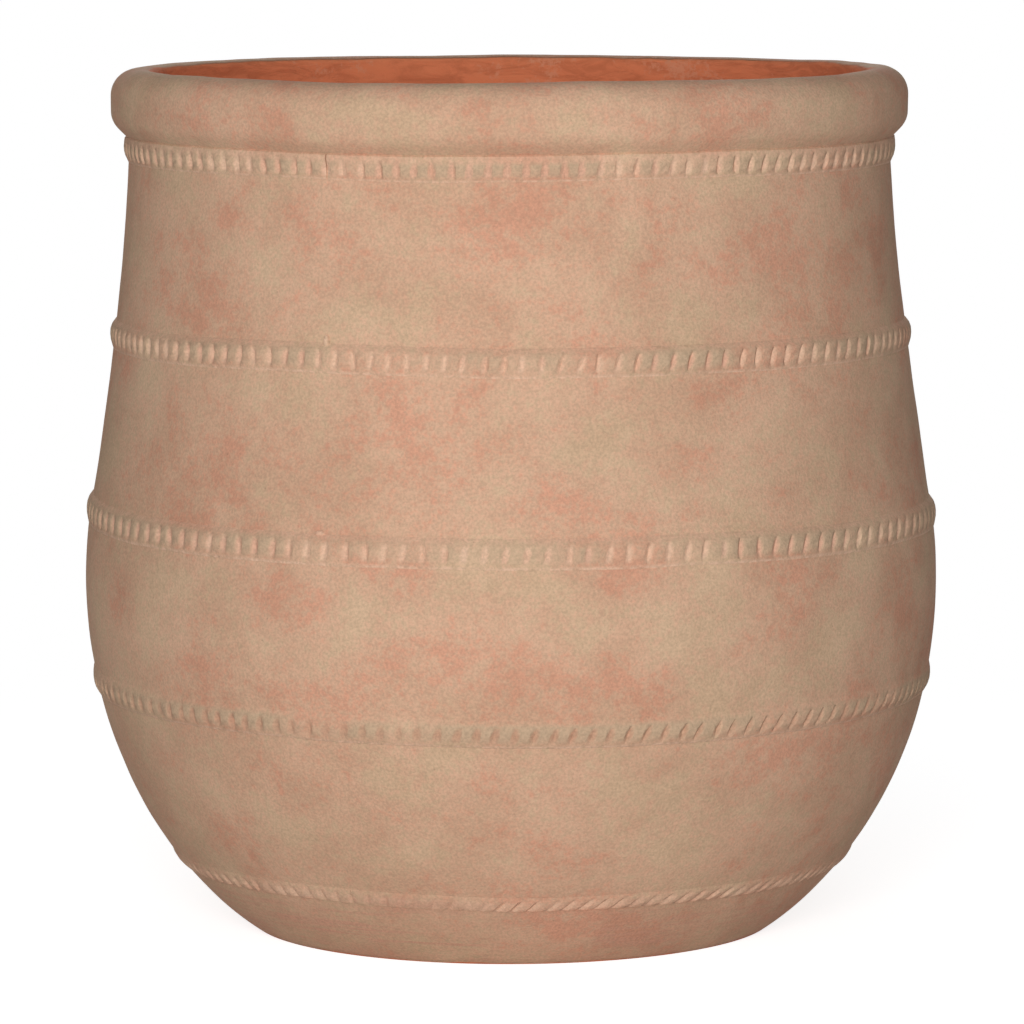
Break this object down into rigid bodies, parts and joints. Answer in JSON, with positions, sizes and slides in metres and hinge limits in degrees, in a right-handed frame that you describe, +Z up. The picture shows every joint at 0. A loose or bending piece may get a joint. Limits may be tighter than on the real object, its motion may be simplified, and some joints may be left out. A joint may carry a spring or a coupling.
{
  "type": "flower pot",
  "caption": "Large round terracotta flower pot, built in stacked wall rings, with a thick rolled rim, a full belly, notched clay cordons over the ring joints and a drain hole in its floor.",
  "frame": {"origin": "on the ground at the pot's axis", "axes": "+Z up along the pot's axis; the cordons' butt joints are near azimuth 243 degrees from +X, so the pictured side faces -Y"},
  "size_m": [0.7052, 0.7052, 0.7078],
  "materials": {
    "raw_terracotta": "matte raw orange terracotta",
    "washed_terracotta": "matte terracotta under a thin beige wash",
    "cordon_terracotta": "matte terracotta under a thin beige wash that lies thicker on the beads"
  },
  "bodies": {
    "root": {"floor_slab": "raw_terracotta", "foot_course": "washed_terracotta", "lower_belly_course": "washed_terracotta", "belly_course": "washed_terracotta", "shoulder_course": "washed_terracotta", "neck_course": "washed_terracotta", "rim_roll": "washed_terracotta", "foot_cordon": "cordon_terracotta", "lower_belly_cordon": "cordon_terracotta", "belly_cordon": "cordon_terracotta", "shoulder_cordon": "cordon_terracotta", "neck_cordon": "cordon_terracotta"}
  },
  "joints": []
}
